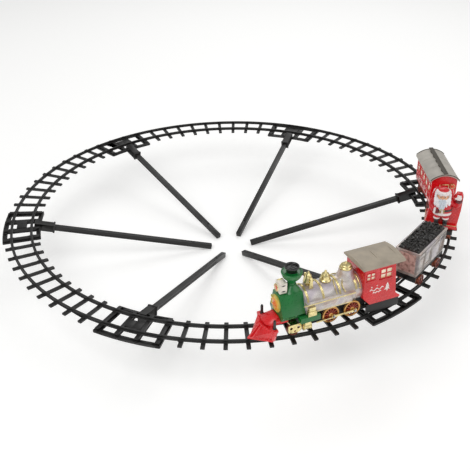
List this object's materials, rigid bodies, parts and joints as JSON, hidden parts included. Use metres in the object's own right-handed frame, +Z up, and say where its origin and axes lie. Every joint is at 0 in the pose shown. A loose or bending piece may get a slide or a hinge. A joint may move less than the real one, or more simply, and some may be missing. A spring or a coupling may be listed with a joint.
{
  "type": "model train",
  "caption": "Battery locomotive with coal wagon, bearded-figure wagon and coach on a ring of track that six arms hold round a tree trunk.",
  "frame": {"origin": "middle of the trunk gap, level with the inner ends of the six arms", "axes": "+Z up along the ring's axis; the locomotive runs clockwise seen from above and stands at the front right, towards +X -Y"},
  "size_m": [0.77, 0.7642, 0.1835],
  "materials": {
    "black_plastic": "satin moulded plastic",
    "pearl_plastic": "pearl silver lacquer",
    "red_plastic": "gloss moulded plastic",
    "bright_red_plastic": "gloss moulded plastic",
    "green_plastic": "gloss moulded plastic",
    "gold_plating": "vacuum plated gold",
    "amber_plastic": "painted yellow and orange",
    "cream_plastic": "painted cream",
    "roof_plastic": "warm grey moulded plastic",
    "wheel_plastic": "copper red moulded plastic",
    "dark_wheel_plastic": "dark red moulded plastic",
    "steel": "plain steel",
    "white_nylon": "moulded nylon",
    "rubber_tyre": "moulded rubber",
    "window_print": "printed warm window",
    "tub_plastic": "silver grey lacquer",
    "coal_plastic": "rough moulded coal",
    "figure_paint": "hand painted figure",
    "coach_roof_plastic": "light grey moulded plastic",
    "coach_glass": "printed pale window",
    "battery_wrap": "printed film wrap",
    "switch_plastic": "moulded plastic"
  },
  "bodies": {
    "track": {"track_1": "black_plastic", "track_2": "black_plastic", "track_3": "black_plastic", "track_4": "black_plastic", "track_5": "black_plastic", "track_6": "black_plastic", "brackets": "black_plastic"},
    "arm_1": {"arm_1": "black_plastic"},
    "arm_2": {"arm_2": "black_plastic"},
    "arm_3": {"arm_3": "black_plastic"},
    "arm_4": {"arm_4": "black_plastic"},
    "arm_5": {"arm_5": "black_plastic"},
    "arm_6": {"arm_6": "black_plastic"},
    "loco": {"loco_chassis": "black_plastic", "motor": "steel", "cowcatcher": "bright_red_plastic", "boiler_shell": "pearl_plastic", "smokebox": "green_plastic", "smokebox_door": "amber_plastic", "chimney": "green_plastic", "chimney_cap": "black_plastic", "headlight": "cream_plastic", "bell": "gold_plating", "sand_dome": "gold_plating", "steam_dome": "gold_plating", "cylinders": "gold_plating", "cab_shell": "red_plastic", "cab_windows": "window_print", "cab_roof": "roof_plastic", "battery_cells": "battery_wrap", "screws": "steel"},
    "drive_axle": {"drive_wheelset": "black_plastic", "drive_tyres": "rubber_tyre"},
    "idler": {"idler_gear": "white_nylon"},
    "rear_driver_pair": {"rear_drivers": "wheel_plastic"},
    "front_driver_pair": {"front_drivers": "wheel_plastic"},
    "reduction": {"reduction_gear": "white_nylon"},
    "rotor": {"motor_pinion": "gold_plating"},
    "outer_rod": {"outer_side_rod": "gold_plating"},
    "inner_rod": {"inner_side_rod": "gold_plating"},
    "pilot_truck": {"pilot_bogie": "gold_plating"},
    "pilot_pair": {"pilot_wheelset": "dark_wheel_plastic"},
    "battery_door": {"battery_door": "red_plastic"},
    "switch": {"power_switch": "switch_plastic"},
    "coal_wagon": {"coal_chassis": "black_plastic", "coal_tub": "tub_plastic", "coal_load": "coal_plastic"},
    "coal_front_pair": {"coal_front_wheels": "dark_wheel_plastic"},
    "coal_rear_pair": {"coal_rear_wheels": "dark_wheel_plastic"},
    "figure_wagon": {"figure_chassis": "black_plastic", "figure_body": "red_plastic", "gift_figure": "figure_paint"},
    "figure_front_pair": {"figure_front_wheels": "dark_wheel_plastic"},
    "figure_rear_pair": {"figure_rear_wheels": "dark_wheel_plastic"},
    "coach": {"coach_chassis": "black_plastic", "coach_body": "red_plastic", "coach_roof": "coach_roof_plastic", "coach_windows": "coach_glass"},
    "coach_front_pair": {"coach_front_wheels": "dark_wheel_plastic"},
    "coach_rear_pair": {"coach_rear_wheels": "dark_wheel_plastic"}
  },
  "joints": [
    {"name": "train_run", "type": "hinge", "parent": "track", "child": "loco", "pos_m": [0, 0, 0.081], "axis": [0, 0, 1], "continuous": true},
    {"name": "coal_run", "type": "hinge", "parent": "track", "child": "coal_wagon", "pos_m": [0, 0, 0.081], "axis": [0, 0, 1], "continuous": true},
    {"name": "figure_run", "type": "hinge", "parent": "track", "child": "figure_wagon", "pos_m": [0, 0, 0.081], "axis": [0, 0, 1], "continuous": true},
    {"name": "coach_run", "type": "hinge", "parent": "track", "child": "coach", "pos_m": [0, 0, 0.081], "axis": [0, 0, 1], "continuous": true},
    {"name": "drive_axle_spin", "type": "hinge", "parent": "loco", "child": "drive_axle", "pos_m": [0.1983, -0.29312, 0.0912], "axis": [0.3907, -0.9205, 0], "continuous": true},
    {"name": "idler_spin", "type": "hinge", "parent": "loco", "child": "idler", "pos_m": [0.17864, -0.30146, 0.09448], "axis": [0.3907, -0.9205, 0], "continuous": true},
    {"name": "rear_driver_spin", "type": "hinge", "parent": "loco", "child": "rear_driver_pair", "pos_m": [0.15595, -0.3111, 0.0972], "axis": [0.3907, -0.9205, 0], "continuous": true},
    {"name": "front_driver_spin", "type": "hinge", "parent": "loco", "child": "front_driver_pair", "pos_m": [0.12558, -0.32399, 0.0972], "axis": [0.3907, -0.9205, 0], "continuous": true},
    {"name": "reduction_spin", "type": "hinge", "parent": "loco", "child": "reduction", "pos_m": [0.17091, -0.30475, 0.10903], "axis": [0.3907, -0.9205, 0], "continuous": true},
    {"name": "motor_spin", "type": "hinge", "parent": "loco", "child": "rotor", "pos_m": [0.15556, -0.31126, 0.1168], "axis": [0.3907, -0.9205, 0], "continuous": true},
    {"name": "outer_rod_swing", "type": "hinge", "parent": "rear_driver_pair", "child": "outer_rod", "pos_m": [0.16674, -0.32813, 0.09491], "axis": [0.3907, -0.9205, 0], "continuous": true},
    {"name": "inner_rod_swing", "type": "hinge", "parent": "rear_driver_pair", "child": "inner_rod", "pos_m": [0.14606, -0.29367, 0.09392], "axis": [0.3907, -0.9205, 0], "continuous": true},
    {"name": "pilot_swivel", "type": "hinge", "parent": "loco", "child": "pilot_truck", "pos_m": [0.07449, -0.34568, 0.0985], "axis": [0, 0, 1], "range_deg": [-4, 4]},
    {"name": "pilot_wheel_spin", "type": "hinge", "parent": "pilot_truck", "child": "pilot_pair", "pos_m": [0.07449, -0.34568, 0.0892], "axis": [0.3907, -0.9205, 0], "continuous": true},
    {"name": "battery_door_swing", "type": "hinge", "parent": "loco", "child": "battery_door", "pos_m": [0.22027, -0.30291, 0.127], "axis": [0, 0, -1], "range_deg": [0, 100]},
    {"name": "power_switch_slide", "type": "slide", "parent": "loco", "child": "switch", "axis": [-0.9205, -0.3907, 0], "range_m": [0, 0.004]},
    {"name": "coal_front_wheel_spin", "type": "hinge", "parent": "coal_wagon", "child": "coal_front_pair", "pos_m": [0.26085, -0.23933, 0.0892], "axis": [0.788, -0.6157, 0], "continuous": true},
    {"name": "coal_rear_wheel_spin", "type": "hinge", "parent": "coal_wagon", "child": "coal_rear_pair", "pos_m": [0.29533, -0.1952, 0.0892], "axis": [0.788, -0.6157, 0], "continuous": true},
    {"name": "figure_front_wheel_spin", "type": "hinge", "parent": "figure_wagon", "child": "figure_front_pair", "pos_m": [0.33268, -0.11868, 0.0892], "axis": [0.9553, -0.2957, 0], "continuous": true},
    {"name": "figure_rear_wheel_spin", "type": "hinge", "parent": "figure_wagon", "child": "figure_rear_pair", "pos_m": [0.34155, -0.09003, 0.0892], "axis": [0.9553, -0.2957, 0], "continuous": true},
    {"name": "coach_front_wheel_spin", "type": "hinge", "parent": "coach", "child": "coach_front_pair", "pos_m": [0.35321, -0.0273, 0.0892], "axis": [0.9999, 0.0105, 0], "continuous": true},
    {"name": "coach_rear_wheel_spin", "type": "hinge", "parent": "coach", "child": "coach_rear_pair", "pos_m": [0.35256, 0.03469, 0.0892], "axis": [0.9999, 0.0105, 0], "continuous": true},
    {"name": "arm_1_slide", "type": "slide", "parent": "track", "child": "arm_1", "axis": [-0.9621, -0.1318, -0.2385], "range_m": [-0.009, 0.012]},
    {"name": "arm_2_slide", "type": "slide", "parent": "track", "child": "arm_2", "axis": [-0.3669, -0.8991, -0.2385], "range_m": [-0.009, 0.012]},
    {"name": "arm_3_slide", "type": "slide", "parent": "track", "child": "arm_3", "axis": [0.5952, -0.7673, -0.2385], "range_m": [-0.009, 0.012]},
    {"name": "arm_4_slide", "type": "slide", "parent": "track", "child": "arm_4", "axis": [0.9621, 0.1318, -0.2385], "range_m": [-0.009, 0.012]},
    {"name": "arm_5_slide", "type": "slide", "parent": "track", "child": "arm_5", "axis": [0.3669, 0.8991, -0.2385], "range_m": [-0.009, 0.012]},
    {"name": "arm_6_slide", "type": "slide", "parent": "track", "child": "arm_6", "axis": [-0.5952, 0.7673, -0.2385], "range_m": [-0.009, 0.012]}
  ],
  "couplings": [
    {"joint": "coal_run", "follows": "train_run", "ratio": 1},
    {"joint": "figure_run", "follows": "train_run", "ratio": 1},
    {"joint": "coach_run", "follows": "train_run", "ratio": 1},
    {"joint": "drive_axle_spin", "follows": "train_run", "ratio": -35.4},
    {"joint": "idler_spin", "follows": "train_run", "ratio": 24.337},
    {"joint": "rear_driver_spin", "follows": "train_run", "ratio": -25.96},
    {"joint": "front_driver_spin", "follows": "train_run", "ratio": -25.96},
    {"joint": "reduction_spin", "follows": "train_run", "ratio": -77.88},
    {"joint": "motor_spin", "follows": "train_run", "ratio": 280.37},
    {"joint": "outer_rod_swing", "follows": "train_run", "ratio": 25.96},
    {"joint": "inner_rod_swing", "follows": "train_run", "ratio": 25.96},
    {"joint": "pilot_wheel_spin", "follows": "train_run", "ratio": -44.25},
    {"joint": "coal_front_wheel_spin", "follows": "train_run", "ratio": -44.25},
    {"joint": "coal_rear_wheel_spin", "follows": "train_run", "ratio": -44.25},
    {"joint": "figure_front_wheel_spin", "follows": "train_run", "ratio": -44.25},
    {"joint": "figure_rear_wheel_spin", "follows": "train_run", "ratio": -44.25},
    {"joint": "coach_front_wheel_spin", "follows": "train_run", "ratio": -44.25},
    {"joint": "coach_rear_wheel_spin", "follows": "train_run", "ratio": -44.25}
  ]
}
